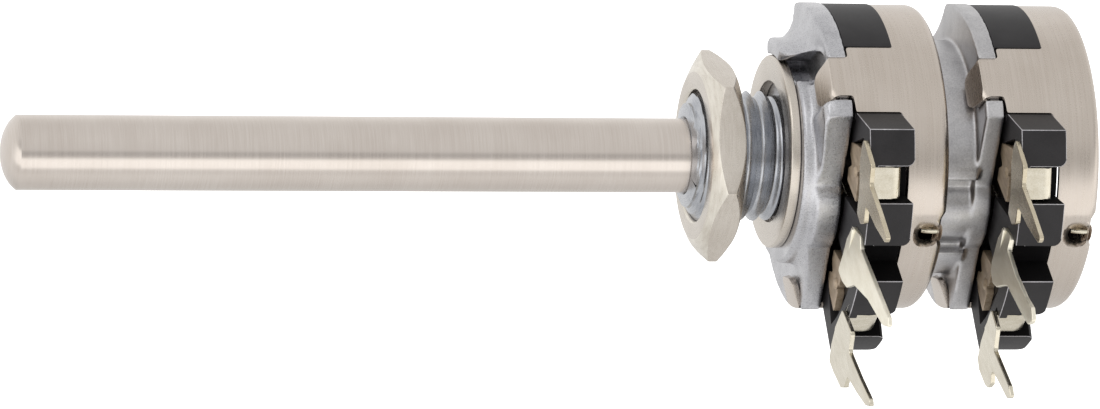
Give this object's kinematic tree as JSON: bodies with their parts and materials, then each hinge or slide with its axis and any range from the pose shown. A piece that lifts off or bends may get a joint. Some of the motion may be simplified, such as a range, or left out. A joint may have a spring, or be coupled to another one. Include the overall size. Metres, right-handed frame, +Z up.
{
  "type": "rotary potentiometer",
  "caption": "Ganged rotary potentiometer with a long plain round shaft, threaded panel bushing with nut and washer, cast front plates, drawn cans and solder lugs.",
  "frame": {"origin": "on the shaft axis, in the flat seat of the front casting that bears on the back of the panel", "axes": "+X along the shaft from the knob end to the back of the rear can, solder lugs along -Y, +Z up"},
  "size_m": [0.0579, 0.0258, 0.0166],
  "materials": {
    "shaft_nickel": "satin nickel, drawn rod",
    "nickel_steel": "satin nickel plate, turned and stamped",
    "nickel_can": "warm satin nickel plate on a drawn can",
    "zinc_casting": "bare zinc die casting, mottled",
    "black_moulding": "charcoal moulding, eggshell",
    "tinned_brass": "tin plate on stamped brass",
    "phenolic_board": "dark phenolic paper, matt",
    "carbon_film": "printed carbon, matt",
    "silver_film": "printed silver, satin",
    "spring_bronze": "spring bronze, satin",
    "spring_steel": "bare spring steel"
  },
  "bodies": {
    "frame": {"front_plate": "zinc_casting", "rear_plate": "zinc_casting", "front_housing": "black_moulding", "front_element_board": "phenolic_board", "front_carbon_track": "carbon_film", "front_collector_ring": "silver_film", "front_solder_lug_1": "tinned_brass", "front_solder_lug_2": "tinned_brass", "front_solder_lug_3": "tinned_brass", "front_root_clip_1": "tinned_brass", "front_root_clip_3": "tinned_brass", "front_rivet_1": "tinned_brass", "front_rivet_2": "tinned_brass", "front_rivet_3": "tinned_brass", "front_can": "nickel_can", "rear_housing": "black_moulding", "rear_element_board": "phenolic_board", "rear_carbon_track": "carbon_film", "rear_collector_ring": "silver_film", "rear_solder_lug_1": "tinned_brass", "rear_solder_lug_2": "tinned_brass", "rear_solder_lug_3": "tinned_brass", "rear_root_clip_1": "tinned_brass", "rear_root_clip_3": "tinned_brass", "rear_rivet_1": "tinned_brass", "rear_rivet_2": "tinned_brass", "rear_rivet_3": "tinned_brass", "rear_can": "nickel_can"},
    "shaft": {"shaft": "shaft_nickel", "front_snap_ring": "spring_steel", "rear_snap_ring": "spring_steel", "front_rotor": "black_moulding", "rear_rotor": "black_moulding", "front_wiper": "spring_bronze", "rear_wiper": "spring_bronze"},
    "washer": {"flat_washer": "nickel_steel"},
    "nut": {"hex_nut": "nickel_steel"}
  },
  "joints": [
    {"name": "shaft_turn", "type": "hinge", "parent": "frame", "child": "shaft", "pos_m": [0, 0, 0], "axis": [1, 0, 0], "range_deg": [-150, 150]},
    {"name": "washer_slide", "type": "slide", "parent": "frame", "child": "washer", "axis": [-1, 0, 0], "range_m": [0, 0.0023]},
    {"name": "nut_travel", "type": "slide", "parent": "washer", "child": "nut", "axis": [-1, 0, 0], "range_m": [-0.00233, 0.0023]}
  ]
}
